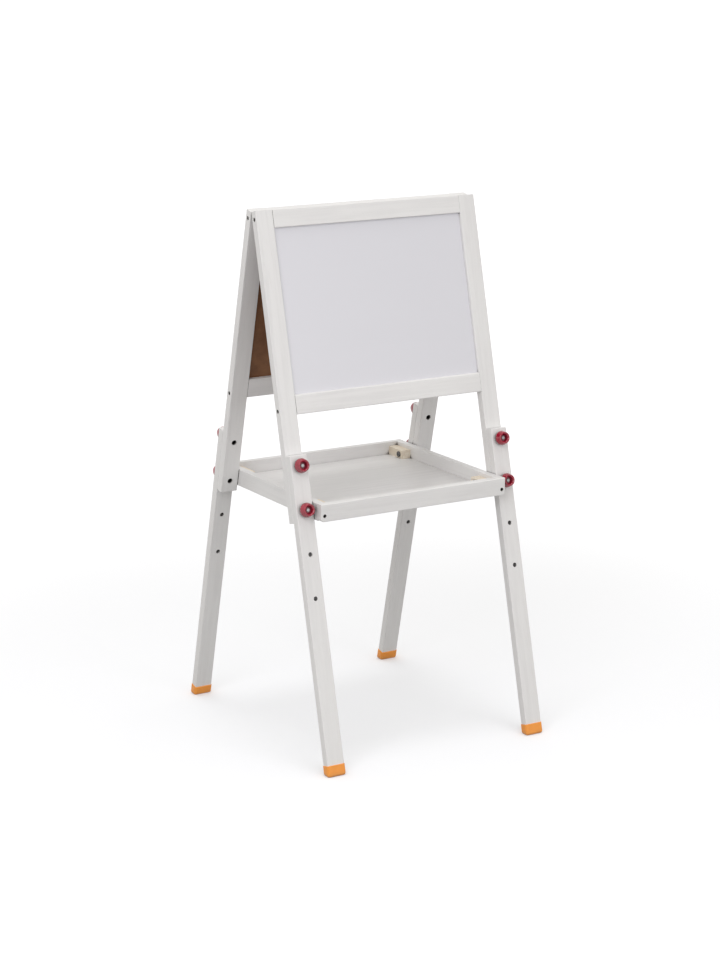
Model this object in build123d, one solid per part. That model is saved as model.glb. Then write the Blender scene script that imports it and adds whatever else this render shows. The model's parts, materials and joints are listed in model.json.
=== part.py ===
from build123d import *

import os
from math import cos, radians, sin

# Children's easel: two like frames hinged at the top, a tray between their legs.
# Millimetres. X to the right, Y to the back, Z up. The whiteboard faces -Y.
# The origin is on the floor, under the middle of the easel.

# Overall sizes
EASEL_WIDTH = 500.0            # across the outer sides of the stiles
TOP_HEIGHT = 1065.0            # floor to the top outer edge of a frame
LEAN = 13.6                    # each frame's lean from upright, degrees
CLOSED_GAP = 6.0               # between the two frames when folded flat

# Timber
STILE_WIDTH = 37.0
STOCK = 18.0                   # thickness of stiles, rails and legs
TOP_RAIL_HEIGHT = 35.0
BOTTOM_RAIL_HEIGHT = 39.0
EASING = 1.6                   # rounding along the edges of the timber
RAIL_NOSE = 4.0                # rounded upper edge under each board
STILE_LENGTH = 605.0
BOTTOM_RAIL_END = 397.0        # top of the frame to the bottom rail's lower edge

# Boards, held in grooves
BACKING = 3.0
SHEET = 0.6
BOARD_RECESS = 6.0             # outer face of the frame to the writing face
GROOVE = 5.0

# Lower legs, with a row of holes along the middle
LEG_START = 474.0              # top of the frame to the leg's upper end
FIRST_HOLE = 495.0             # top of the frame to the first knob hole
HOLE_PITCH = 86.0
LEG_HOLES = 4
KNOB_HOLES = 2                 # the first holes, that also go through the stile
LEG_HOLE_RADIUS = 4.5

# Foot caps
CAP_HEIGHT = 21.0
CAP_WALL = 1.8
CAP_SOLE = 5.0
CAP_CORNER = 5.5               # rounding of the four upright corners
CAP_ROUNDING = 4.5             # rounding round the sole

# Clamp knobs, with their studs and the insert nuts in the stiles
KNOB_RADIUS = 14.5
KNOB_BASE = 5.0                # length of the widest part of the head
KNOB_TAPER = 9.5               # length of the tapered part in front of it
KNOB_FACE_RADIUS = 11.5
KNOB_RIM = 1.5                 # rounding of the outer rim
KNOB_DISH_RADIUS = 9.0
KNOB_DISH = 7.0                # depth of the hollow in the knob's face
KNOB_DISH_FLOOR = 5.0          # radius of the hollow's flat floor
KNOB_UNDERCUT = 3.0
KNOB_NECK_RADIUS = 7.5
KNOB_NECK = 5.0
STUD_RADIUS = 4.0
STUD_POINT = 1.0               # bevel at both ends of a stud
STUD_PROUD = 0.6               # the stud's end, out from the floor of the knob's hollow
STUD_SHORT_OF_FACE = 8.0       # the stud's end, back from the stile's inner face
INSERT_RADIUS = 5.5
INSERT_LENGTH = 10.0
INSERT_SUNK = 5.0              # stile's inner face to the insert nut
RUNNING_CLEARANCE = 0.05
FIXED_CLEARANCE = 0.05

# Screws that hold the rails between the stiles
RAIL_SCREW_HEAD_RADIUS = 3.6
RAIL_SCREW_HEAD = 3.0
RAIL_SCREW_RADIUS = 2.0
RAIL_SCREW_LENGTH = 50.0
SCREW_POCKET_RADIUS = 4.0
SCREW_POCKET = 8.0
TOP_SCREW_DROP = 16.0          # top of the frame to the upper screws
BOTTOM_SCREW_RISE = 10.0       # bottom rail's lower edge to the lower screws

# Butt hinges between the top rails
HINGE_BELOW_TOP = 10.0
HINGE_OFFSET = 130.0           # middle of the easel to the middle of a hinge
LEAF_WIDTH = 40.0
LEAF_HEIGHT = 20.0
LEAF_THICKNESS = 1.2
KNUCKLE_RADIUS = 2.5
KNUCKLE_SPACE = 0.3            # between knuckles, and from a leaf to the other's knuckle
MIDDLE_KNUCKLE = 14.0
PIN_RADIUS = 1.25
PIN_HEAD_RADIUS = 2.0
PIN_HEAD = 1.0
LEAF_SCREW_SPREAD = 12.0
LEAF_SCREW_DROP = 13.0
LEAF_SCREW_HEAD_RADIUS = 2.8
LEAF_SCREW_RADIUS = 1.4
LEAF_SCREW_LENGTH = 11.0

# Tray
TRAY_SIDE_GAP = 0.5            # tray to the inner sides of the stiles and legs
PIVOT_ABOVE_END = 27.0         # stile's lower end to the tray's pivots
TRAY_OVERHANG = 56.8           # pivots to the outer faces of the front and back rails
TRAY_RAIL_HEIGHT = 35.0
TRAY_RAIL = 16.0
TRAY_CORNER_RADIUS = 7.0       # lower outer corners of the front and back rails
TRAY_FLOOR = 4.0
TRAY_FLOOR_RISE = 5.0          # underside of the rails to the underside of the floor
TRAY_GROOVE = 5.0
BLOCK_WIDTH = 20.0
BLOCK_HEIGHT = 18.0
BLOCK_PAST_PIVOT = 13.0        # pivots to the blocks' inner ends
BLOCK_EASING = 1.0
TRAY_SCREW_RISE = 12.0
TRAY_SCREW_RADIUS = 2.0
TRAY_SCREW_HEAD_RADIUS = 3.6
TRAY_SCREW_HEAD = 2.4
TRAY_SCREW_SUNK = 4.0
TRAY_SCREW_LENGTH = 45.0

# Shoulder screws through the tray's blocks and side rails
SHOULDER_RADIUS = 3.0
SHOULDER_HEAD_RADIUS = 6.0
SHOULDER_HEAD = 3.0
SHOULDER_HEAD_ROUNDING = 1.2
SHOULDER_IN_STILE = 9.0
SHOULDER_HOLE_DEPTH = 10.0

# Places worked out from the sizes above.
# Each frame is drawn upright and closed, with the hinge axis as its X axis,
# as the front one: the face towards the other frame is at y = INNER_FACE.
HALF_WIDTH = EASEL_WIDTH / 2
STILE_SIDE = HALF_WIDTH - STILE_WIDTH
STILE_MIDDLE = HALF_WIDTH - STILE_WIDTH / 2
INNER_FACE = -CLOSED_GAP / 2
OUTER_FACE = INNER_FACE - STOCK
LEG_FACE = OUTER_FACE - STOCK
HINGE_HEIGHT = TOP_HEIGHT - HINGE_BELOW_TOP * cos(radians(LEAN)) + OUTER_FACE * sin(radians(LEAN))
STOCK_MIDDLE = (INNER_FACE + OUTER_FACE) / 2
PIVOT_DROP = STILE_LENGTH - PIVOT_ABOVE_END - HINGE_BELOW_TOP
PIVOT_REACH = PIVOT_DROP * sin(radians(LEAN)) - STOCK_MIDDLE * cos(radians(LEAN))
PIVOT_HEIGHT = HINGE_HEIGHT - PIVOT_DROP * cos(radians(LEAN)) - STOCK_MIDDLE * sin(radians(LEAN))
TRAY_HALF_WIDTH = STILE_SIDE - TRAY_SIDE_GAP
TRAY_INNER_WIDTH = TRAY_HALF_WIDTH - TRAY_RAIL
TRAY_HALF_DEPTH = PIVOT_REACH + TRAY_OVERHANG
TRAY_INNER_DEPTH = TRAY_HALF_DEPTH - TRAY_RAIL
TRAY_UNDERSIDE = PIVOT_HEIGHT - TRAY_RAIL_HEIGHT / 2
TRAY_FLOOR_TOP = TRAY_UNDERSIDE + TRAY_FLOOR_RISE + TRAY_FLOOR
SIDES = {"left": -1, "right": 1}
WAYS = {"front": -1, "back": 1}
ROWS = {"upper": 0, "lower": 1}


def from_top(distance):
    """Height in the upright frame of a place measured down from the frame's top."""
    return HINGE_BELOW_TOP - distance


def block(x, y, z):
    """A box between two limits on each axis, given in any order."""
    size = [abs(limits[1] - limits[0]) for limits in (x, y, z)]
    middle = [sum(limits) / 2 for limits in (x, y, z)]
    return Pos(*middle) * Box(*size)


def timber(x, y, z, along):
    """A length of timber, eased along its four long edges and at its ends."""
    piece = block(x, y, z)
    return fillet(piece.edges().filter_by(along), EASING)


def rod(radius, start, end):
    """A round bar from one point to another."""
    way = Vector(*end) - Vector(*start)
    return Solid.make_cylinder(radius, way.length, Plane(origin=start, z_dir=way))


def taper(start_radius, end_radius, start, end):
    """A cone between two points, for a countersunk head or its seat."""
    way = Vector(*end) - Vector(*start)
    return Solid.make_cone(start_radius, end_radius, way.length, Plane(origin=start, z_dir=way))


def mirrored(piece):
    """The same piece on the back frame."""
    return mirror(piece, about=Plane.XZ)


def stand(piece, front):
    """Lean an upright frame's piece to where it stands when the easel is open."""
    if not front:
        piece = mirrored(piece)
    lean = -LEAN if front else LEAN
    return Pos(0, 0, HINGE_HEIGHT) * Rot(lean, 0, 0) * piece


def upright_height(y, world_height):
    """Height in the upright frame of the place at y that stands at a world height."""
    angle = radians(LEAN)
    return (world_height - HINGE_HEIGHT + y * sin(angle)) / cos(angle)


def hole_heights(count):
    """Heights of the first knob holes down the legs."""
    return [from_top(FIRST_HOLE + HOLE_PITCH * index) for index in range(count)]


# Stiles, rails and legs

def board_space(extra):
    """The board's outline, grown all round by a groove's depth, and its full thickness."""
    face = OUTER_FACE + BOARD_RECESS
    return block(
        (-STILE_SIDE - extra, STILE_SIDE + extra),
        (face, face + SHEET + BACKING),
        (from_top(TOP_RAIL_HEIGHT) + extra, from_top(BOTTOM_RAIL_END - BOTTOM_RAIL_HEIGHT) - extra),
    )


def crossways_rod(radius, side, start, end, height):
    """A round bar along X in the middle of the stock, between two distances from the easel's middle."""
    return rod(radius, (side * start, STOCK_MIDDLE, height), (side * end, STOCK_MIDDLE, height))


def rail_screw_heights():
    return [from_top(TOP_SCREW_DROP), from_top(BOTTOM_RAIL_END - BOTTOM_SCREW_RISE)]


def rail_screw_path(side, height, clearance):
    """A rail screw, or with some clearance the space that it needs."""
    head_start = HALF_WIDTH - SCREW_POCKET
    head_end = head_start - RAIL_SCREW_HEAD
    tip = head_end - RAIL_SCREW_LENGTH - clearance
    head = crossways_rod(RAIL_SCREW_HEAD_RADIUS + clearance, side, head_start, head_end, height)
    return head + crossways_rod(RAIL_SCREW_RADIUS + clearance, side, head_end, tip, height)


def rail_screw_pocket(side, height):
    bottom = HALF_WIDTH - SCREW_POCKET - RAIL_SCREW_HEAD
    return crossways_rod(SCREW_POCKET_RADIUS, side, HALF_WIDTH, bottom, height)


def shoulder_bore(side):
    """Blind hole in a stile's inner side for the tray's shoulder screw."""
    radius = SHOULDER_RADIUS + RUNNING_CLEARANCE
    return crossways_rod(radius, side, STILE_SIDE, STILE_SIDE + SHOULDER_HOLE_DEPTH, -PIVOT_DROP)


def stile(side):
    piece = timber(
        (side * STILE_SIDE, side * HALF_WIDTH),
        (INNER_FACE, OUTER_FACE),
        (from_top(0), from_top(STILE_LENGTH)),
        Axis.Z,
    )
    piece -= board_space(GROOVE)
    for height in rail_screw_heights():
        piece -= rail_screw_pocket(side, height)
        piece -= rail_screw_path(side, height, FIXED_CLEARANCE)
    for height in hole_heights(KNOB_HOLES):
        x = side * STILE_MIDDLE
        piece -= rod(LEG_HOLE_RADIUS, (x, INNER_FACE, height), (x, OUTER_FACE, height))
        piece -= insert_bar(side, height, 0)
    return piece - shoulder_bore(side)


def rail(upper_edge, lower_edge):
    """A rail between the stiles, grooved for the board."""
    piece = timber(
        (-STILE_SIDE, STILE_SIDE),
        (INNER_FACE, OUTER_FACE),
        (from_top(upper_edge), from_top(lower_edge)),
        Axis.X,
    )
    return piece - board_space(GROOVE)


def top_rail():
    piece = rail(0, TOP_RAIL_HEIGHT)
    for side in SIDES.values():
        piece -= rail_screw_path(side, rail_screw_heights()[0], FIXED_CLEARANCE)
    for x, height in leaf_screw_places():
        piece -= leaf_screw(x, height, FIXED_CLEARANCE)
    return piece


def bottom_rail():
    """The lower rail, with a rounder edge below the board's writing face."""
    upper_edge = BOTTOM_RAIL_END - BOTTOM_RAIL_HEIGHT
    plain = block(
        (-STILE_SIDE, STILE_SIDE),
        (INNER_FACE, OUTER_FACE),
        (from_top(upper_edge), from_top(BOTTOM_RAIL_END)),
    )
    long_edges = plain.edges().filter_by(Axis.X)
    nose = long_edges.group_by(Axis.Z)[-1].sort_by(Axis.Y)[0]
    others = [edge for edge in long_edges if edge.center() != nose.center()]
    piece = fillet(others, EASING)
    nose = piece.edges().filter_by(Axis.X).group_by(Axis.Z)[-1].sort_by(Axis.Y)[0]
    piece = fillet(nose, RAIL_NOSE)
    piece -= board_space(GROOVE)
    for side in SIDES.values():
        piece -= rail_screw_path(side, rail_screw_heights()[1], FIXED_CLEARANCE)
    return piece


def board_sheet():
    """The thin writing sheet on the outer side of the board."""
    whole = board_space(GROOVE)
    face = OUTER_FACE + BOARD_RECESS
    across = (-HALF_WIDTH, HALF_WIDTH)
    return whole & block(across, (face, face + SHEET), (from_top(0), from_top(STILE_LENGTH)))


def board_backing():
    return board_space(GROOVE) - board_sheet()


def above_floor(piece, height):
    """What is left of a standing piece above a world height."""
    reach = EASEL_WIDTH + TOP_HEIGHT
    return piece - block((-reach, reach), (-reach, reach), (height - reach, height))


def plain_leg(side, clearance):
    """A lower leg before it is cut to the floor, or the space that it needs."""
    return block(
        (side * (STILE_SIDE - clearance), side * (HALF_WIDTH + clearance)),
        (OUTER_FACE + clearance, LEG_FACE - clearance),
        (from_top(LEG_START), upright_height(LEG_FACE, -STOCK)),
    )


def leg(side):
    piece = plain_leg(side, 0)
    upper_end = piece.faces().sort_by(Axis.Z)[-1]
    piece = fillet(piece.edges().filter_by(Axis.Z) + upper_end.edges(), EASING)
    for height in hole_heights(LEG_HOLES):
        x = side * STILE_MIDDLE
        piece -= rod(LEG_HOLE_RADIUS, (x, OUTER_FACE, height), (x, LEG_FACE, height))
    return piece


def standing_leg(side, front):
    return above_floor(stand(leg(side), front), CAP_SOLE)


def foot_cap(side, front):
    """A moulded cap round a leg's end, flat on the floor."""
    middle = (OUTER_FACE + LEG_FACE) / 2
    floor = upright_height(middle, 0)
    shell = block(
        (side * (STILE_SIDE - CAP_WALL), side * (HALF_WIDTH + CAP_WALL)),
        (OUTER_FACE + CAP_WALL, LEG_FACE - CAP_WALL),
        (floor - STOCK, floor + CAP_HEIGHT),
    )
    shell = fillet(shell.edges().filter_by(Axis.Z), CAP_CORNER)
    shell = above_floor(stand(shell, front), 0)
    sole = shell.faces().sort_by(Axis.Z)[0]
    shell = fillet(sole.edges(), CAP_ROUNDING)
    rim = max(shell.faces(), key=lambda face: face.center().Z)
    shell = fillet(rim.edges(), CAP_WALL / 2)
    return shell - standing_leg(side, front)


# Knobs, studs and insert nuts

def knob(side, height):
    """A round moulded clamp knob on the outside of a lower leg."""
    widest = KNOB_NECK + KNOB_BASE
    face = widest + KNOB_TAPER
    head = rod(KNOB_RADIUS, (0, 0, KNOB_NECK), (0, 0, widest))
    head += taper(KNOB_RADIUS, KNOB_FACE_RADIUS, (0, 0, widest), (0, 0, face))
    rims = head.edges().filter_by(GeomType.CIRCLE).sort_by(Axis.Z)
    head = fillet(rims[-1], KNOB_RIM)
    rims = head.edges().filter_by(GeomType.CIRCLE).sort_by(Axis.Z)
    head = fillet(rims[0], KNOB_UNDERCUT)
    head -= taper(KNOB_DISH_FLOOR, KNOB_DISH_RADIUS, (0, 0, face - KNOB_DISH), (0, 0, face))
    body = head + rod(KNOB_NECK_RADIUS, (0, 0, 0), (0, 0, widest - KNOB_UNDERCUT))
    seat = Plane(origin=(side * STILE_MIDDLE, LEG_FACE, height), z_dir=(0, -1, 0))
    return seat * body - stud(side, height)


def stud(side, height):
    x = side * STILE_MIDDLE
    inner_end = INNER_FACE - STUD_SHORT_OF_FACE
    outer_end = LEG_FACE - KNOB_NECK - KNOB_BASE - KNOB_TAPER + KNOB_DISH - STUD_PROUD
    bar = rod(STUD_RADIUS, (x, inner_end, height), (x, outer_end, height))
    return chamfer(bar.edges().filter_by(GeomType.CIRCLE), STUD_POINT)


def insert_bar(side, height, start):
    """A bar as wide as an insert nut, from a depth under the stile's inner face to the nut's end."""
    x = side * STILE_MIDDLE
    end = INNER_FACE - INSERT_SUNK - INSERT_LENGTH
    return rod(INSERT_RADIUS, (x, INNER_FACE - start, height), (x, end, height))


def insert_nut(side, height):
    x = side * STILE_MIDDLE
    bore = rod(STUD_RADIUS + RUNNING_CLEARANCE, (x, INNER_FACE, height), (x, OUTER_FACE, height))
    return insert_bar(side, height, INSERT_SUNK) - bore


# Hinges

def leaf_screw_places():
    height = -LEAF_SCREW_DROP
    centres = (-HINGE_OFFSET, HINGE_OFFSET)
    return [(centre + way * LEAF_SCREW_SPREAD, height) for centre in centres for way in (-1, 1)]


def leaf_screw(x, height, clearance):
    """A countersunk screw through a hinge leaf, or the space that it needs."""
    face = INNER_FACE + LEAF_THICKNESS
    tip = face - LEAF_SCREW_LENGTH - clearance
    head = taper(
        LEAF_SCREW_HEAD_RADIUS + clearance,
        LEAF_SCREW_RADIUS + clearance,
        (x, face, height),
        (x, INNER_FACE, height),
    )
    return head + rod(LEAF_SCREW_RADIUS + clearance, (x, INNER_FACE, height), (x, tip, height))


def knuckle_spans(front):
    """Where a leaf's knuckles lie along the hinge, from the hinge's middle."""
    middle = MIDDLE_KNUCKLE / 2
    if not front:
        return [(-middle, middle)]
    inner = middle + KNUCKLE_SPACE
    return [(-LEAF_WIDTH / 2, -inner), (inner, LEAF_WIDTH / 2)]


def hinge_leaf(centre, front):
    """One leaf, drawn as the front one, with the knuckles that belong to it."""
    plate_top = -KNUCKLE_RADIUS - KNUCKLE_SPACE
    across = (INNER_FACE, INNER_FACE + LEAF_THICKNESS)
    plate = block((centre - LEAF_WIDTH / 2, centre + LEAF_WIDTH / 2), across, (plate_top, -LEAF_HEIGHT))
    for start, end in knuckle_spans(front):
        span = (centre + start, centre + end)
        plate += block(span, across, (plate_top, 0))
        plate += rod(KNUCKLE_RADIUS, (span[0], 0, 0), (span[1], 0, 0))
    bore_radius = PIN_RADIUS + RUNNING_CLEARANCE
    plate -= rod(bore_radius, (centre - LEAF_WIDTH / 2, 0, 0), (centre + LEAF_WIDTH / 2, 0, 0))
    for x, height in leaf_screw_places():
        plate -= leaf_screw(x, height, FIXED_CLEARANCE)
    return plate


def hinge_pin(centre):
    end = LEAF_WIDTH / 2
    pin = rod(PIN_RADIUS, (centre - end, 0, 0), (centre + end, 0, 0))
    for way in (-1, 1):
        start = centre + way * end
        pin += rod(PIN_HEAD_RADIUS, (start, 0, 0), (start + way * PIN_HEAD, 0, 0))
    return pin


# Tray

def tray_screw(side, way, clearance):
    """A countersunk screw through a cross rail into a side rail's end."""
    x = side * (TRAY_HALF_WIDTH - TRAY_RAIL / 2)
    z = TRAY_UNDERSIDE + TRAY_SCREW_RISE
    start = way * (TRAY_HALF_DEPTH - TRAY_SCREW_SUNK)
    neck = start - way * TRAY_SCREW_HEAD
    tip = neck - way * (TRAY_SCREW_LENGTH + clearance)
    head = taper(
        TRAY_SCREW_HEAD_RADIUS + clearance,
        TRAY_SCREW_RADIUS + clearance,
        (x, start, z),
        (x, neck, z),
    )
    return head + rod(TRAY_SCREW_RADIUS + clearance, (x, neck, z), (x, tip, z))


def tray_screw_pocket(side, way):
    x = side * (TRAY_HALF_WIDTH - TRAY_RAIL / 2)
    z = TRAY_UNDERSIDE + TRAY_SCREW_RISE
    end = way * (TRAY_HALF_DEPTH - TRAY_SCREW_SUNK)
    return rod(TRAY_SCREW_HEAD_RADIUS + FIXED_CLEARANCE, (x, way * TRAY_HALF_DEPTH, z), (x, end, z))


def tray_panel():
    """The floor panel, with its edges in the rails' grooves."""
    half_width = TRAY_INNER_WIDTH + TRAY_GROOVE
    half_depth = TRAY_INNER_DEPTH + TRAY_GROOVE
    return block(
        (-half_width, half_width),
        (-half_depth, half_depth),
        (TRAY_FLOOR_TOP - TRAY_FLOOR, TRAY_FLOOR_TOP),
    )


def tray_cross_rail(way):
    """The front or the back rail, with rounded lower corners."""
    piece = block(
        (-TRAY_HALF_WIDTH, TRAY_HALF_WIDTH),
        (way * TRAY_INNER_DEPTH, way * TRAY_HALF_DEPTH),
        (TRAY_UNDERSIDE, TRAY_UNDERSIDE + TRAY_RAIL_HEIGHT),
    )
    corners = piece.edges().filter_by(Axis.Y).group_by(Axis.Z)[0]
    piece = fillet(corners, TRAY_CORNER_RADIUS)
    outside = piece.faces().sort_by(Axis.Y)[0 if way < 0 else -1]
    piece = fillet(outside.edges(), EASING)
    piece -= tray_panel()
    for side in SIDES.values():
        piece -= tray_screw_pocket(side, way)
        piece -= tray_screw(side, way, FIXED_CLEARANCE)
    return piece


def shoulder_shank(side, way, reach, clearance):
    """The plain round part of a shoulder screw, from a block's inner face out to a given reach."""
    start = TRAY_INNER_WIDTH - BLOCK_WIDTH
    y = way * PIVOT_REACH
    return rod(SHOULDER_RADIUS + clearance, (side * start, y, PIVOT_HEIGHT), (side * reach, y, PIVOT_HEIGHT))


def shoulder_screw(side, way, reach):
    """A screw with a plain shoulder, its head against the block inside the tray."""
    head = Cylinder(SHOULDER_HEAD_RADIUS, SHOULDER_HEAD, align=(Align.CENTER, Align.CENTER, Align.MIN))
    head = fillet(head.edges().filter_by(GeomType.CIRCLE).sort_by(Axis.Z)[-1], SHOULDER_HEAD_ROUNDING)
    middle = (side * (TRAY_INNER_WIDTH - BLOCK_WIDTH), way * PIVOT_REACH, PIVOT_HEIGHT)
    return Plane(origin=middle, z_dir=(-side, 0, 0)) * head + shoulder_shank(side, way, reach, 0)


def tray_side_rail(side):
    piece = timber(
        (side * TRAY_INNER_WIDTH, side * TRAY_HALF_WIDTH),
        (-TRAY_INNER_DEPTH, TRAY_INNER_DEPTH),
        (TRAY_UNDERSIDE, TRAY_UNDERSIDE + TRAY_RAIL_HEIGHT),
        Axis.Y,
    )
    piece -= tray_panel()
    for way in WAYS.values():
        piece -= tray_screw(side, way, FIXED_CLEARANCE)
        piece -= shoulder_shank(side, way, TRAY_HALF_WIDTH, FIXED_CLEARANCE)
    return piece


def tray_block(side, way):
    """A plain block in a corner of the tray, that stiffens the rail round a shoulder screw."""
    piece = block(
        (side * (TRAY_INNER_WIDTH - BLOCK_WIDTH), side * TRAY_INNER_WIDTH),
        (way * (PIVOT_REACH - BLOCK_PAST_PIVOT), way * TRAY_INNER_DEPTH),
        (TRAY_FLOOR_TOP, TRAY_FLOOR_TOP + BLOCK_HEIGHT),
    )
    inner_edge = piece.edges().filter_by(Axis.Y).group_by(Axis.Z)[-1].sort_by(Axis.X)[0 if side > 0 else -1]
    piece = fillet(inner_edge, BLOCK_EASING)
    return piece - shoulder_shank(side, way, TRAY_HALF_WIDTH, FIXED_CLEARANCE)


# Writing the pieces

def write(name, solids):
    """One file for one named piece, or for a set of like pieces."""
    solids = [solid for piece in solids for solid in piece.solids()]
    export_step(solids[0] if len(solids) == 1 else Compound(children=solids), f"parts/{name}.step")


def write_frame(name, front, board):
    """All the pieces that ride with one frame, and its knobs."""
    for side_name, side in SIDES.items():
        write(f"{name}_stile_{side_name}", [stand(stile(side), front)])
        write(f"{name}_leg_{side_name}", [standing_leg(side, front)])
        write(f"{name}_foot_{side_name}", [foot_cap(side, front)])
        for row_name, row in ROWS.items():
            height = hole_heights(KNOB_HOLES)[row]
            write(f"{name}_knob_{side_name}_{row_name}", [stand(knob(side, height), front)])
            write(f"{name}_stud_{side_name}_{row_name}", [stand(stud(side, height), front)])
    write(f"{name}_top_rail", [stand(top_rail(), front)])
    write(f"{name}_bottom_rail", [stand(bottom_rail(), front)])
    write(f"{board}_sheet", [stand(board_sheet(), front)])
    write(f"{board}_backing", [stand(board_backing(), front)])
    nuts = [insert_nut(side, height) for side in SIDES.values() for height in hole_heights(KNOB_HOLES)]
    write(f"{name}_insert_nuts", [stand(nut, front) for nut in nuts])
    screws = [rail_screw_path(side, height, 0) for side in SIDES.values() for height in rail_screw_heights()]
    write(f"{name}_rail_screws", [stand(screw, front) for screw in screws])
    centres = (-HINGE_OFFSET, HINGE_OFFSET)
    write(f"{name}_hinge_leaves", [stand(hinge_leaf(centre, front), front) for centre in centres])
    small = [leaf_screw(x, height, 0) for x, height in leaf_screw_places()]
    write(f"{name}_hinge_screws", [stand(screw, front) for screw in small])


def write_tray():
    for way_name, way in WAYS.items():
        write(f"tray_{way_name}_rail", [tray_cross_rail(way)])
    write("tray_floor", [tray_panel()])
    for side_name, side in SIDES.items():
        write(f"tray_side_rail_{side_name}", [tray_side_rail(side)])
        for way_name, way in WAYS.items():
            write(f"tray_block_{way_name}_{side_name}", [tray_block(side, way)])
    sides = SIDES.values()
    write("tray_rail_screws", [tray_screw(side, way, 0) for side in sides for way in WAYS.values()])
    reach = STILE_SIDE + SHOULDER_IN_STILE
    write("tray_pivot_screws", [shoulder_screw(side, WAYS["front"], reach) for side in sides])
    write("tray_rear_screws", [shoulder_screw(side, WAYS["back"], TRAY_HALF_WIDTH) for side in sides])


os.makedirs("parts", exist_ok=True)
write_frame("front", True, "whiteboard")
write_frame("back", False, "chalkboard")
write("hinge_pins", [stand(hinge_pin(centre), True) for centre in (-HINGE_OFFSET, HINGE_OFFSET)])
write_tray()
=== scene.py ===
import json
from math import cos, pi, radians, sin

import bmesh
import bpy
from mathutils import Matrix, Vector

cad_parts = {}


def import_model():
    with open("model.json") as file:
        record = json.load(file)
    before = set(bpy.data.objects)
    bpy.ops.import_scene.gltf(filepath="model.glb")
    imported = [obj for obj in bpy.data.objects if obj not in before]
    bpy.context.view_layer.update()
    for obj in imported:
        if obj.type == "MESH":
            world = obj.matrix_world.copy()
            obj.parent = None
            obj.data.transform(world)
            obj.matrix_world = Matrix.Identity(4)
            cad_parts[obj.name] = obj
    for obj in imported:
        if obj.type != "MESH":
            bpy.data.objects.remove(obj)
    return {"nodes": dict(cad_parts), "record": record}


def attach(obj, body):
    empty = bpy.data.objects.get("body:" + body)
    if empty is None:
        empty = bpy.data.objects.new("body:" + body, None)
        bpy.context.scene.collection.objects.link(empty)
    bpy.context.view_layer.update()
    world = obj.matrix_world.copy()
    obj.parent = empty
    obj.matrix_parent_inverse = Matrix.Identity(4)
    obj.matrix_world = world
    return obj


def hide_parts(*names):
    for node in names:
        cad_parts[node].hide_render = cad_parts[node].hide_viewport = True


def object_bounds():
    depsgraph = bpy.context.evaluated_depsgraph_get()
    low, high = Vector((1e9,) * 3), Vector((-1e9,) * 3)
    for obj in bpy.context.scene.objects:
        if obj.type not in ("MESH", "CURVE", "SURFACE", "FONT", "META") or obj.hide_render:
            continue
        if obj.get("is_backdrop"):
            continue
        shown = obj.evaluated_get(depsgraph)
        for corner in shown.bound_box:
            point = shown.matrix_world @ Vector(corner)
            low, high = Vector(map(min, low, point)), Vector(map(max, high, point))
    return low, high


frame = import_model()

# Children's easel: materials, small hardware, studio and camera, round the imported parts.
# Metres, in the frame of the CAD model: X right, Y back, Z up, the whiteboard faces -Y.
CAD_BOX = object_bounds()
LEAN = radians(13.6)
ACROSS = Vector((1, 0, 0))
DEEP = Vector((0, 1, 0))
FRONT_LENGTH = Vector((0, sin(LEAN), cos(LEAN)))
BACK_LENGTH = Vector((0, -sin(LEAN), cos(LEAN)))
FRONT_NORMAL = Vector((0, -cos(LEAN), sin(LEAN)))
BACK_NORMAL = Vector((0, cos(LEAN), sin(LEAN)))


# Shader building

SEED_WAY = (1.0, 1.7, 0.6)     # the way in which a seed moves a texture


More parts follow.
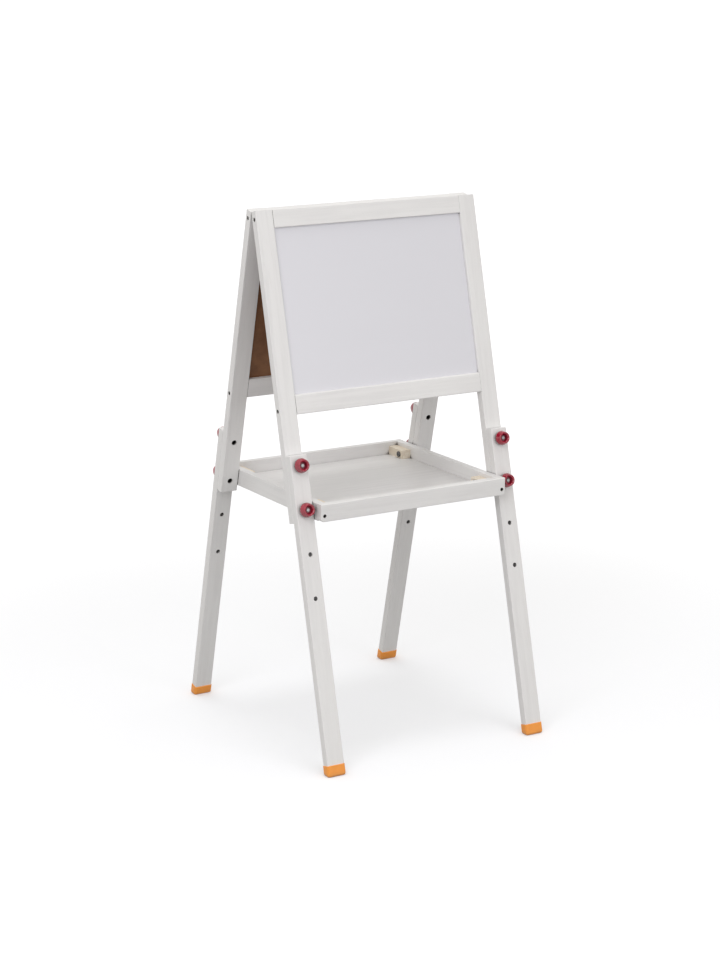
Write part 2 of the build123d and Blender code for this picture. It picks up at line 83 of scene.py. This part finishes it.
class Shader:
    """A material with its main shader, and short ways to add nodes."""

    def __init__(self, name):
        self.material = bpy.data.materials.new(name)
        self.material.use_nodes = True
        self.tree = self.material.node_tree
        self.main = self.tree.nodes["Principled BSDF"]

    def node(self, kind, inputs=None, **settings):
        node = self.tree.nodes.new(kind)
        for name, value in settings.items():
            setattr(node, name, value)
        for name, value in (inputs or {}).items():
            self.feed(node.inputs[name], value)
        return node

    def feed(self, socket, value):
        if isinstance(value, bpy.types.NodeSocket):
            self.tree.links.new(value, socket)
        else:
            socket.default_value = value

    def set(self, **values):
        """Set or link inputs of the main shader; an underscore stands for a space."""
        for name, value in values.items():
            self.feed(self.main.inputs[name.replace("_", " ")], value)

    def along(self, direction, seed=0.0):
        """Object coordinates turned so that X runs along a direction, moved by a seed."""
        place = self.node("ShaderNodeTexCoord").outputs["Object"]
        mapping = self.node("ShaderNodeMapping", {"Vector": place})
        mapping.inputs["Rotation"].default_value = direction.rotation_difference(ACROSS).to_euler()
        mapping.inputs["Location"].default_value = [seed * share for share in SEED_WAY]
        return mapping.outputs["Vector"]

    def noise(self, place, scale, detail=3.0, rough=0.5, warp=0.0):
        inputs = {"Vector": place, "Scale": scale, "Detail": detail, "Roughness": rough, "Distortion": warp}
        return self.node("ShaderNodeTexNoise", inputs).outputs["Fac"]

    def fibres(self, place, length, width, depth=None, **options):
        """Noise drawn out along X, with its three scales counted per metre."""
        scales = (length, width, depth or width)
        drawn = self.node("ShaderNodeVectorMath", {0: place, 1: scales}, operation="MULTIPLY")
        return self.noise(drawn.outputs["Vector"], 1.0, **options)

    def ramp(self, value, low, high, start=0.0, end=1.0):
        """Map low..high of a value smoothly to start..end, held at both ends."""
        inputs = {"Value": value, "From Min": low, "From Max": high, "To Min": start, "To Max": end}
        node = self.node("ShaderNodeMapRange", inputs, interpolation_type="SMOOTHSTEP")
        return node.outputs["Result"]

    def blend(self, share, first, second):
        """Mix two colours by a share."""
        return self.node("ShaderNodeMix", {0: share, 6: first, 7: second}, data_type="RGBA").outputs[2]

    def reckon(self, operation, first, second):
        return self.node("ShaderNodeMath", {0: first, 1: second}, operation=operation).outputs["Value"]

    def times(self, first, second):
        return self.reckon("MULTIPLY", first, second)

    def plus(self, first, second):
        return self.reckon("ADD", first, second)

    def bump(self, height, depth, strength, below=None):
        inputs = {"Height": height, "Distance": depth, "Strength": strength}
        if below is not None:
            inputs["Normal"] = below
        return self.node("ShaderNodeBump", inputs).outputs["Normal"]

    def painted_nook_shade(self, reach, open_share, shut_share):
        """0 on open faces, up to 1 deep in holes, grooves and narrow gaps: the mask by which shade is
        painted there.
        """
        shade = self.node("ShaderNodeAmbientOcclusion", {"Distance": reach}, samples=8)
        return self.ramp(shade.outputs["AO"], open_share, shut_share)

    def edges(self, radius):
        """1 on edges, where the rounded normal leaves the true one, and 0 on flat faces."""
        round_normal = self.node("ShaderNodeBevel", {"Radius": radius}, samples=6).outputs["Normal"]
        true_normal = self.node("ShaderNodeNewGeometry").outputs["Normal"]
        dot = self.node("ShaderNodeVectorMath", {0: round_normal, 1: true_normal}, operation="DOT_PRODUCT")
        return self.ramp(dot.outputs["Value"], 0.995, 0.80)


def grey(value, tint=(1.0, 1.0, 1.0)):
    return (value * tint[0], value * tint[1], value * tint[2], 1.0)


# Colours, each as the share of red, green and blue light that comes back

WARM = (1.0, 0.984, 0.984)
PAINT = grey(0.80, WARM)
THIN_PAINT = grey(0.745, WARM)
THICK_PAINT = grey(0.82, (1.0, 0.995, 0.985))
PAINT_IN_PORES = grey(0.60, (1.0, 0.95, 0.87))
WORN_PAINT = grey(0.66, (1.0, 0.93, 0.82))
# painted shade: near-black laid on the paint in holes, grooves and narrow gaps where shade falls
PAINT_NOOK_SHADE = (0.045, 0.038, 0.032, 1)
PINE = (0.84, 0.76, 0.64, 1)
PINE_LINES = (0.75, 0.65, 0.52, 1)
PINE_FIBRES = (0.62, 0.50, 0.38, 1)
BOARD_BROWN = (0.165, 0.070, 0.030, 1)
BOARD_PALER = (0.230, 0.105, 0.047, 1)
BOARD_FIBRES = (0.29, 0.155, 0.08, 1)
LACQUER = (0.728, 0.722, 0.768, 1)
LACQUER_HAZE = (0.722, 0.716, 0.762, 1)
BOARD_BLACK = (0.018, 0.021, 0.020, 1)
CHALK_HAZE = (0.135, 0.145, 0.14, 1)
RED = (0.36, 0.008, 0.032, 1)
RED_DEEPER = (0.30, 0.006, 0.024, 1)
# painted shade: dark red laid in the knob's hollow and round its neck
RED_NOOK_SHADE = (0.13, 0.003, 0.013, 1)
ORANGE = (0.95, 0.36, 0.060, 1)
ORANGE_DEEPER = (0.90, 0.325, 0.050, 1)
ORANGE_DUSTY = (0.50, 0.25, 0.10, 1)
ZINC_BASE = 0.66
ZINC_SPOTS = 0.50
# painted shade: the near-black colour laid on steel in holes, pockets and recesses
ZINC_NOOK_SHADE = (0.030, 0.028, 0.026, 1)


# Materials

DUST_HEIGHT = 0.012            # how high the dust of the floor reaches on the foot caps


def painted_wood(name, direction, seed):
    """White paint, thin enough for the grain to show a little, worn at the edges, with shade painted into
    holes and gaps.
    """
    shader = Shader(name)
    place = shader.along(direction, seed)
    streaks = shader.fibres(place, 5.0, 95.0, detail=5.0, rough=0.6, warp=0.4)
    pores = shader.fibres(place, 22.0, 520.0, detail=3.0, rough=0.6)
    clouds = shader.noise(place, 7.0, detail=3.0, rough=0.55)
    brush = shader.fibres(place, 9.0, 900.0, detail=2.0, rough=0.5)
    coat = shader.blend(shader.ramp(streaks, 0.35, 0.72), PAINT, THIN_PAINT)
    coat = shader.blend(shader.ramp(clouds, 0.3, 0.7, 0.0, 0.5), coat, THICK_PAINT)
    dark_pores = shader.times(shader.ramp(pores, 0.60, 0.76), 0.22)
    coat = shader.blend(dark_pores, coat, PAINT_IN_PORES)
    worn = shader.times(shader.edges(radius=0.0016), shader.ramp(clouds, 0.42, 0.68, 0.05, 0.42))
    coat = shader.blend(worn, coat, WORN_PAINT)
    # painted shade: the paint turns near-black in holes, grooves and narrow gaps
    coat = shader.blend(shader.painted_nook_shade(reach=0.012, open_share=0.54, shut_share=0.28), coat, PAINT_NOOK_SHADE)
    rough = shader.plus(shader.ramp(brush, 0.25, 0.75, 0.36, 0.46), shader.times(worn, 0.2))
    relief = shader.plus(shader.times(streaks, 0.6), shader.times(pores, 0.7))
    normal = shader.bump(relief, depth=0.00022, strength=0.8)
    normal = shader.bump(brush, depth=0.00004, strength=0.7, below=normal)
    shader.set(Base_Color=coat, Roughness=rough, Normal=normal)
    return shader.material


def bare_pine(name):
    """Light bare softwood with yellow-brown growth lines."""
    shader = Shader(name)
    place = shader.along(DEEP)
    lines = shader.fibres(place, 4.0, 110.0, 160.0, detail=4.0, rough=0.55, warp=0.8)
    fibre = shader.fibres(place, 30.0, 900.0, detail=3.0, rough=0.6)
    colour = shader.blend(shader.ramp(lines, 0.38, 0.66), PINE, PINE_LINES)
    colour = shader.blend(shader.times(shader.ramp(fibre, 0.5, 0.75), 0.3), colour, PINE_FIBRES)
    shader.set(Base_Color=colour, Roughness=shader.ramp(fibre, 0.3, 0.7, 0.58, 0.72))
    shader.set(Normal=shader.bump(shader.plus(lines, fibre), depth=0.00025, strength=0.7))
    return shader.material


def hardboard(name):
    """Pressed brown fibre with a mottled, slightly shiny face."""
    shader = Shader(name)
    place = shader.along(ACROSS)
    fibres = shader.fibres(place, 160.0, 520.0, detail=5.0, rough=0.7, warp=1.5)
    mottle = shader.noise(place, 26.0, detail=4.0, rough=0.6)
    colour = shader.blend(shader.ramp(mottle, 0.32, 0.68), BOARD_BROWN, BOARD_PALER)
    colour = shader.blend(shader.times(shader.ramp(fibres, 0.52, 0.74), 0.5), colour, BOARD_FIBRES)
    shader.set(Base_Color=colour, Roughness=shader.ramp(fibres, 0.3, 0.7, 0.42, 0.60))
    shader.set(Specular_IOR_Level=0.3, Normal=shader.bump(fibres, depth=0.0002, strength=0.6))
    return shader.material


def whiteboard(name):
    """Glossy cool white lacquer, with the faint haze that a wiped board keeps."""
    shader = Shader(name)
    place = shader.along(ACROSS)
    wipes = shader.fibres(place, 3.0, 16.0, detail=4.0, rough=0.55, warp=1.2)
    peel = shader.noise(place, 420.0, detail=2.0, rough=0.5)
    colour = shader.blend(shader.ramp(wipes, 0.2, 0.8), LACQUER, LACQUER_HAZE)
    shader.set(Base_Color=colour, Roughness=shader.ramp(wipes, 0.2, 0.8, 0.275, 0.290))
    shader.set(Coat_Weight=0.25, Coat_Roughness=0.16)
    shader.set(Normal=shader.bump(peel, depth=0.00002, strength=0.5))
    return shader.material


def chalkboard(name):
    """Matt near-black paint under a haze of wiped chalk."""
    shader = Shader(name)
    place = shader.along(ACROSS)
    strokes = shader.fibres(place, 5.0, 30.0, detail=5.0, rough=0.6, warp=1.6)
    clouds = shader.noise(place, 6.0, detail=3.0, rough=0.5)
    grit = shader.noise(place, 1500.0, detail=2.0, rough=0.6)
    haze = shader.times(shader.ramp(strokes, 0.42, 0.78), shader.ramp(clouds, 0.35, 0.65, 0.05, 0.5))
    colour = shader.blend(haze, BOARD_BLACK, CHALK_HAZE)
    shader.set(Base_Color=colour, Roughness=shader.ramp(grit, 0.3, 0.7, 0.72, 0.90))
    shader.set(Normal=shader.bump(grit, depth=0.00012, strength=0.6))
    return shader.material


def red_plastic(name):
    """Deep red glossy plastic, with fine moulding marks and scuffs, and shade painted into the knob's hollow
    and narrow gaps.
    """
    shader = Shader(name)
    place = shader.along(ACROSS)
    tone = shader.noise(place, 60.0, detail=2.0, rough=0.5)
    scuffs = shader.fibres(place, 300.0, 900.0, 300.0, detail=4.0, rough=0.65, warp=1.0)
    colour = shader.blend(shader.ramp(tone, 0.3, 0.7), RED, RED_DEEPER)
    # painted shade: the red turns dark in the hollow and narrow gaps
    colour = shader.blend(shader.painted_nook_shade(reach=0.014, open_share=0.90, shut_share=0.40), colour, RED_NOOK_SHADE)
    shader.set(Base_Color=colour, Roughness=shader.ramp(scuffs, 0.45, 0.8, 0.14, 0.26))
    shader.set(Coat_Weight=0.4, Coat_Roughness=0.06)
    shader.set(Normal=shader.bump(tone, depth=0.00005, strength=0.5))
    return shader.material


def orange_plastic(name):
    """Soft satin plastic of the foot caps, dusty near the floor."""
    shader = Shader(name)
    place = shader.along(ACROSS)
    height = shader.node("ShaderNodeSeparateXYZ", {"Vector": place}).outputs["Z"]
    grain = shader.noise(place, 900.0, detail=2.0, rough=0.6)
    clouds = shader.noise(place, 45.0, detail=3.0, rough=0.6)
    low_down = shader.ramp(height, DUST_HEIGHT, 0.0, 0.0, 0.6)
    dust = shader.times(low_down, shader.ramp(clouds, 0.35, 0.7, 0.2, 1.0))
    colour = shader.blend(shader.ramp(clouds, 0.3, 0.7), ORANGE, ORANGE_DEEPER)
    colour = shader.blend(dust, colour, ORANGE_DUSTY)
    shader.set(Base_Color=colour, Roughness=shader.ramp(grain, 0.3, 0.7, 0.42, 0.54))
    shader.set(Normal=shader.bump(grain, depth=0.00006, strength=0.6))
    return shader.material


def zinc(name, bright):
    """Zinc plate with a fine drawn texture and dull spots, and shade painted into its nooks; bright sets its
    brightness, below 1 for darker copies that paint the shade on fasteners set deep in hollows.
    """
    shader = Shader(name)
    place = shader.along(ACROSS)
    drawn = shader.fibres(place, 120.0, 1600.0, detail=3.0, rough=0.6)
    spots = shader.noise(place, 330.0, detail=3.0, rough=0.6)
    colour = shader.blend(shader.ramp(spots, 0.4, 0.7), grey(ZINC_BASE * bright), grey(ZINC_SPOTS * bright))
    # painted shade: the steel turns near-black in pockets, bores and the cross recesses
    colour = shader.blend(shader.painted_nook_shade(reach=0.012, open_share=0.85, shut_share=0.30), colour, ZINC_NOOK_SHADE)
    shader.set(Base_Color=colour, Metallic=1.0, Roughness=shader.ramp(drawn, 0.3, 0.7, 0.24, 0.40))
    shader.set(Normal=shader.bump(drawn, depth=0.00003, strength=0.5))
    return shader.material


# Which material goes on which node

GRAIN_LENGTHS = {
    "front_stile": FRONT_LENGTH, "front_leg": FRONT_LENGTH,
    "back_stile": BACK_LENGTH, "back_leg": BACK_LENGTH,
    "tray_side": DEEP,
}
SEED_STEP = 3.37
# fasteners set deep in pockets and bores, which get a darker copy of the steel as painted shade
FASTENERS_IN_SHADE = ("front_rail_screws", "back_rail_screws", "front_insert_nuts", "back_insert_nuts",
                  "tray_rail_screws", "tray_pivot_screws", "tray_rear_screws")
SHADED_STEEL = 0.30              # brightness of the fasteners that sit deep in the timber, a darker copy of the steel as painted shade
# a dimmer copy of the steel for the stud ends deep in the knob hollows: painted shade
STUD_STEEL = 0.75


def grain_of(node):
    for start, direction in GRAIN_LENGTHS.items():
        if node.startswith(start):
            return direction
    return ACROSS


def dress(node, material):
    mesh = frame["nodes"][node].data
    mesh.materials.clear()
    mesh.materials.append(material)


def dress_all():
    """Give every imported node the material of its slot; each painted piece has its own grain."""
    shared = {
        "pine": bare_pine("pine"),
        "hardboard": hardboard("hardboard"),
        "writing_white": whiteboard("writing_white"),
        "writing_black": chalkboard("writing_black"),
        "knob_red": red_plastic("knob_red"),
        "foot_orange": orange_plastic("foot_orange"),
        "steel": zinc("steel", 1.0),
    }
    # darker copies of the steel: painted shade on fasteners deep in pockets and on stud ends in the knob
    # hollows
    steel_in_shade = zinc("steel_painted_shade", SHADED_STEEL)
    studs = zinc("steel_stud", STUD_STEEL)
    for index, part in enumerate(frame["record"]["subparts"]):
        node = part["node"]
        if part["material_slot"] == "white_wood":
            dress(node, painted_wood(f"paint_{node}", grain_of(node), index * SEED_STEP))
        elif node in FASTENERS_IN_SHADE:
            dress(node, steel_in_shade)
        elif "_stud_" in node:
            dress(node, studs)
        else:
            dress(node, shared[part["material_slot"]])


# Pieces that stand in for packed ones

MERGE = 1e-6


def packed_shape(node):
    """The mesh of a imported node, in its place, with doubled corners joined."""
    source = frame["nodes"][node]
    shape = bmesh.new()
    shape.from_mesh(source.data)
    shape.transform(source.matrix_world)
    bmesh.ops.remove_doubles(shape, verts=shape.verts, dist=MERGE)
    return shape


def piece_from(name, shape):
    mesh = bpy.data.meshes.new(name)
    shape.to_mesh(mesh)
    shape.free()
    piece = bpy.data.objects.new(name, mesh)
    bpy.context.scene.collection.objects.link(piece)
    return piece


def body_with(node):
    return next(name for name, nodes in frame["record"]["behaviour"]["bodies"].items() if node in nodes)


def stand_in(piece, node):
    """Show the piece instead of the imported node, with its material and on its body."""
    piece.data.materials.clear()
    piece.data.materials.append(frame["nodes"][node].data.materials[0])
    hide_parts(node)
    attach(piece, body_with(node))


# Screws with cross recesses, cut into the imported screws

RECESS_SHARE = 0.56            # length of the cross over the head's width
RECESS_WIDTH = 0.17            # width of its arms over the head's width
RECESS_DEPTH = 0.26            # its depth over the head's width
RECESS_TIP = 0.45              # length of the cross at its bottom over that at its top
FLATNESS = 1e-5                # how far the corners of a flat end stray along the screw
SCREWS = {
    "front_rail_screws": ACROSS, "back_rail_screws": ACROSS,
    "front_hinge_screws": FRONT_NORMAL, "back_hinge_screws": BACK_NORMAL,
    "tray_rail_screws": DEEP, "tray_pivot_screws": ACROSS, "tray_rear_screws": ACROSS,
}


def islands(shape):
    """The separate solids of a mesh, as lists of vertices, in the same order each run."""
    seen = set()
    for first in shape.verts:
        if first in seen:
            continue
        seen.add(first)
        island = [first]
        for vert in island:
            for link in vert.link_edges:
                other = link.other_vert(vert)
                if other not in seen:
                    seen.add(other)
                    island.append(other)
        yield island


def head_of(verts, axis):
    """Middle of a screw's outer face, the direction that it faces and its width."""
    places = [vert.co for vert in verts]
    heights = [place.dot(axis) for place in places]
    ends = []
    for height, way in ((min(heights), -1), (max(heights), 1)):
        rim = [place for place in places if abs(place.dot(axis) - height) < FLATNESS]
        middle = sum(rim, Vector()) / len(rim)
        ends.append((max((place - middle).length for place in rim), middle, axis * way))
    radius, middle, facing = max(ends, key=lambda end: end[0])
    return middle, facing, radius * 2


def cross_cutter(heads):
    """Tapered crosses that stand in the screws' outer faces."""
    shape = bmesh.new()
    for middle, facing, width in heads:
        turn = facing.to_track_quat("Z", "Y").to_matrix().to_4x4()
        size = (width * RECESS_SHARE, width * RECESS_WIDTH, width * RECESS_DEPTH * 2)
        for quarter in (0, 1):
            place = Matrix.Translation(middle) @ turn @ Matrix.Rotation(quarter * pi / 2, 4, "Z")
            made = bmesh.ops.create_cube(shape, size=1.0)["verts"]
            for vert in made:
                narrow = RECESS_TIP if vert.co.z < 0 else 1.0
                corner = Vector((vert.co.x * size[0] * narrow, vert.co.y * size[1], vert.co.z * size[2]))
                vert.co = place @ corner
    return piece_from("crosses", shape)


def recessed_screws(node, axis):
    """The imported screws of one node, with a cross cut into each head."""
    shape = packed_shape(node)
    heads = [head_of(verts, axis) for verts in islands(shape)]
    piece = piece_from(f"{node}_recessed", shape)
    cutter = cross_cutter(heads)
    cut = piece.modifiers.new("cut", "BOOLEAN")
    cut.operation = "DIFFERENCE"
    cut.use_self = True
    cut.object = cutter
    bpy.context.view_layer.update()
    done = bpy.data.meshes.new_from_object(piece.evaluated_get(bpy.context.evaluated_depsgraph_get()))
    piece.modifiers.clear()
    piece.data = done
    bpy.data.objects.remove(cutter)
    stand_in(piece, node)


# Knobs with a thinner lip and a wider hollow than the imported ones

KNOBS = [f"{side}_knob_{hand}_{row}" for side in ("front", "back")
         for hand in ("left", "right") for row in ("upper", "lower")]
HOLLOW_DEPTH = 0.0073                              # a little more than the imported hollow's depth
HOLLOW_RADII = {0.005: 0.0073, 0.009: 0.0099}      # packed and new radius, at its floor and its lip
RADIUS_SLACK = 0.0003
KEEN_EDGE = radians(28)


def hollowed_knob(node):
    """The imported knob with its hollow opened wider; bore, rim and flank stay."""
    axis = FRONT_NORMAL if node.startswith("front") else BACK_NORMAL
    shape = packed_shape(node)
    middle = sum((vert.co for vert in shape.verts), Vector()) / len(shape.verts)
    face = max((vert.co - middle).dot(axis) for vert in shape.verts)
    for vert in shape.verts:
        height = (vert.co - middle).dot(axis)
        foot = middle + axis * height
        radius = (vert.co - foot).length
        if height < face - HOLLOW_DEPTH:
            continue
        for old, new in HOLLOW_RADII.items():
            if abs(radius - old) < RADIUS_SLACK:
                vert.co = foot + (vert.co - foot) * (new / radius)
    for side in shape.faces:
        side.smooth = True
    for edge in shape.edges:
        edge.smooth = edge.calc_face_angle(0.0) < KEEN_EDGE
    stand_in(piece_from(f"{node}_hollowed", shape), node)


# Studio

FLOOR_SIZE = 60.0
FLOOR_SEEN = (0.745, 0.754, 0.782, 1)      # share of the light that the camera sees the floor give back
FLOOR_GLOW = 0.24                          # what lifts the seen floor to white outside the shadow
FAR_GLOW = 0.45                            # the same far from the easel, where the lamps reach less
GLOW_NEAR = 0.8                            # where the one glow begins to turn into the other
GLOW_FAR = 2.6
FLOOR_BOUNCE = 0.34                        # share that the floor throws back on the easel
FILL = (0.800, 0.786, 0.752, 1)
COOL = (0.958, 0.960, 1.0)
LAMP_TARGET = (0.0, 0.0, 0.6)
LEFT_LAMP = {"place": (-2.4, -1.9, 2.5), "size": 2.2, "watts": 31.0}
FRONT_LAMP = {"place": (0.6, -4.2, 1.7), "size": 2.6, "watts": 20.0}
TOP_PLACE = (0.0, 0.0, 3.0)
TOP_STRENGTH = 0.35
TOP_ANGLE = radians(16)


def seen_directly(shader):
    """1 where the camera, a mirror or a clear surface looks at this one."""
    path = shader.node("ShaderNodeLightPath")
    glossy_too = shader.reckon("MAXIMUM", path.outputs["Is Camera Ray"], path.outputs["Is Glossy Ray"])
    return shader.reckon("MAXIMUM", glossy_too, path.outputs["Is Transmission Ray"])


def floor():
    """A plain pale floor that shows white, with the easel's soft shadow on it."""
    shape = bmesh.new()
    bmesh.ops.create_grid(shape, x_segments=4, y_segments=4, size=FLOOR_SIZE / 2)
    piece = piece_from("floor", shape)
    shader = Shader("floor")
    shader.set(Base_Color=grey(FLOOR_BOUNCE), Roughness=0.9, Specular_IOR_Level=0.0)
    pale = shader.node("ShaderNodeBsdfDiffuse", {"Color": FLOOR_SEEN})
    place = shader.node("ShaderNodeTexCoord").outputs["Object"]
    distance = shader.node("ShaderNodeVectorMath", {0: place}, operation="LENGTH").outputs["Value"]
    strength = shader.ramp(distance, GLOW_NEAR, GLOW_FAR, FLOOR_GLOW, FAR_GLOW)
    glow = shader.node("ShaderNodeEmission", {"Color": grey(1.0), "Strength": strength})
    lit = shader.node("ShaderNodeAddShader", {0: pale.outputs[0], 1: glow.outputs[0]})
    sides = {0: seen_directly(shader), 1: shader.main.outputs[0], 2: lit.outputs[0]}
    choose = shader.node("ShaderNodeMixShader", sides)
    shader.feed(shader.tree.nodes["Material Output"].inputs["Surface"], choose.outputs[0])
    piece.data.materials.append(shader.material)
    piece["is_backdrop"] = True


class WorldShader(Shader):
    """The same short ways, on the world's own node tree."""

    def __init__(self, name):
        self.material = bpy.data.worlds.new(name)
        self.material.use_nodes = True
        self.tree = self.material.node_tree


def world():
    """White where it is seen, and a soft fill elsewhere."""
    studio = WorldShader("studio")
    fill = studio.tree.nodes["Background"]
    studio.feed(fill.inputs["Color"], FILL)
    white = studio.node("ShaderNodeBackground", {"Color": grey(1.0)})
    sides = {0: seen_directly(studio), 1: fill.outputs[0], 2: white.outputs[0]}
    choose = studio.node("ShaderNodeMixShader", sides)
    studio.feed(studio.tree.nodes["World Output"].inputs["Surface"], choose.outputs[0])
    bpy.context.scene.world = studio.material


def add_lamp(name, kind, place, target):
    light = bpy.data.lights.new(name, kind)
    lamp = bpy.data.objects.new(name, light)
    lamp.location = place
    lamp.rotation_euler = (Vector(target) - Vector(place)).to_track_quat("-Z", "Y").to_euler()
    bpy.context.scene.collection.objects.link(lamp)
    return light


def soft_lamp(name, place, size, watts):
    light = add_lamp(name, "AREA", place, LAMP_TARGET)
    light.shape = "DISK"
    light.size = size
    light.energy = watts
    light.color = COOL


def lamps():
    soft_lamp("left", **LEFT_LAMP)
    soft_lamp("front", **FRONT_LAMP)
    light = add_lamp("top", "SUN", TOP_PLACE, (0.0, 0.0, 0.0))
    light.energy = TOP_STRENGTH
    light.angle = TOP_ANGLE


# Camera, fitted to the photograph

FOCAL_PIXELS = 2403.51
PHOTO_HEIGHT = 960
SENSOR = 36.0
CAMERA_PLACE = (-2.4253, -4.0688, 1.6794)
CAMERA_YAW = radians(30.736)
CAMERA_PITCH = radians(14.005)


def camera():
    data = bpy.data.cameras.new("camera")
    data.sensor_fit = "VERTICAL"
    data.sensor_height = SENSOR
    data.lens = FOCAL_PIXELS * SENSOR / PHOTO_HEIGHT
    view = bpy.data.objects.new("camera", data)
    view.location = CAMERA_PLACE
    view.rotation_euler = (pi / 2 - CAMERA_PITCH, 0.0, -CAMERA_YAW)
    bpy.context.scene.collection.objects.link(view)
    bpy.context.scene.camera = view


dress_all()
for screw_node, screw_axis in SCREWS.items():
    recessed_screws(screw_node, screw_axis)
for knob_node in KNOBS:
    hollowed_knob(knob_node)
floor()
world()
lamps()
camera()
bpy.context.scene.view_settings.view_transform = "Standard"
bpy.context.view_layer.update()
boxes = {"cad": CAD_BOX, "visual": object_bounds()}
{name: [list(corner) for corner in box] for name, box in boxes.items()}
